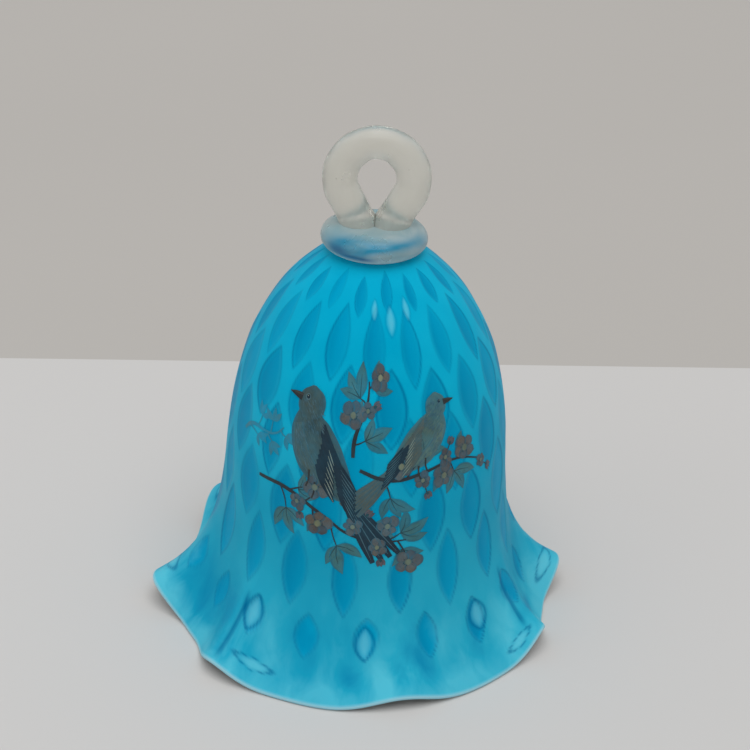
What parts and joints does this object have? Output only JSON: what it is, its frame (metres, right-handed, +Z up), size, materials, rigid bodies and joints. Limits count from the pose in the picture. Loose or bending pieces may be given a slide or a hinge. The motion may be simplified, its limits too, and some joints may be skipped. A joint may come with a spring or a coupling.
{
  "type": "glass table bell",
  "caption": "Ruffled satin glass table bell with a crystal collar and loop handle, and a glass bead on a chain as clapper.",
  "frame": {"origin": "on the plane the rim stands on, under the axis of the body", "axes": "+Z up through the loop handle; +X to the right and -Y to the front of the decorated side, the loop's plane being XZ"},
  "size_m": [0.1406, 0.1338, 0.17],
  "materials": {
    "blue_satin_glass": "cased blue art glass, etched to a satin",
    "frosted_crystal": "frosted clear glass",
    "white_cement": "matt plaster",
    "nickel_wire": "nickel-plated steel wire",
    "clear_bead_glass": "polished clear glass"
  },
  "bodies": {
    "bell": {"bell_body": "blue_satin_glass", "neck_collar": "frosted_crystal", "loop_handle": "frosted_crystal", "cement_plug": "white_cement", "hanger_eye": "nickel_wire"},
    "link_1": {"chain_link_1": "nickel_wire"},
    "link_2": {"chain_link_2": "nickel_wire"},
    "link_3": {"chain_link_3": "nickel_wire"},
    "link_4": {"chain_link_4": "nickel_wire"},
    "link_5": {"chain_link_5": "nickel_wire"},
    "link_6": {"chain_link_6": "nickel_wire"},
    "link_7": {"chain_link_7": "nickel_wire"},
    "clapper": {"clapper_pin": "nickel_wire", "clapper_bead": "clear_bead_glass"}
  },
  "joints": [
    {"name": "link_1_swing", "type": "hinge", "parent": "bell", "child": "link_1", "pos_m": [0, 0, 0.1152], "axis": [1, 0, 0], "range_deg": [-26, 26]},
    {"name": "link_2_swing", "type": "hinge", "parent": "link_1", "child": "link_2", "pos_m": [0, 0, 0.1056], "axis": [0, 1, 0], "range_deg": [-30, 30]},
    {"name": "link_3_swing", "type": "hinge", "parent": "link_2", "child": "link_3", "pos_m": [0, 0, 0.096], "axis": [-1, 0, 0], "range_deg": [-35, 35]},
    {"name": "link_4_swing", "type": "hinge", "parent": "link_3", "child": "link_4", "pos_m": [0, 0, 0.0864], "axis": [0, -1, 0], "range_deg": [-43, 43]},
    {"name": "link_5_swing", "type": "hinge", "parent": "link_4", "child": "link_5", "pos_m": [0, 0, 0.0768], "axis": [1, 0, 0], "range_deg": [-56, 56]},
    {"name": "link_6_swing", "type": "hinge", "parent": "link_5", "child": "link_6", "pos_m": [0, 0, 0.0672], "axis": [0, 1, 0], "range_deg": [-85, 85]},
    {"name": "link_7_swing", "type": "hinge", "parent": "link_6", "child": "link_7", "pos_m": [0, 0, 0.0576], "axis": [-1, 0, 0], "range_deg": [-85, 85]},
    {"name": "clapper_swing", "type": "hinge", "parent": "link_7", "child": "clapper", "pos_m": [0, 0, 0.048], "axis": [0, -1, 0], "range_deg": [-85, 85]}
  ]
}
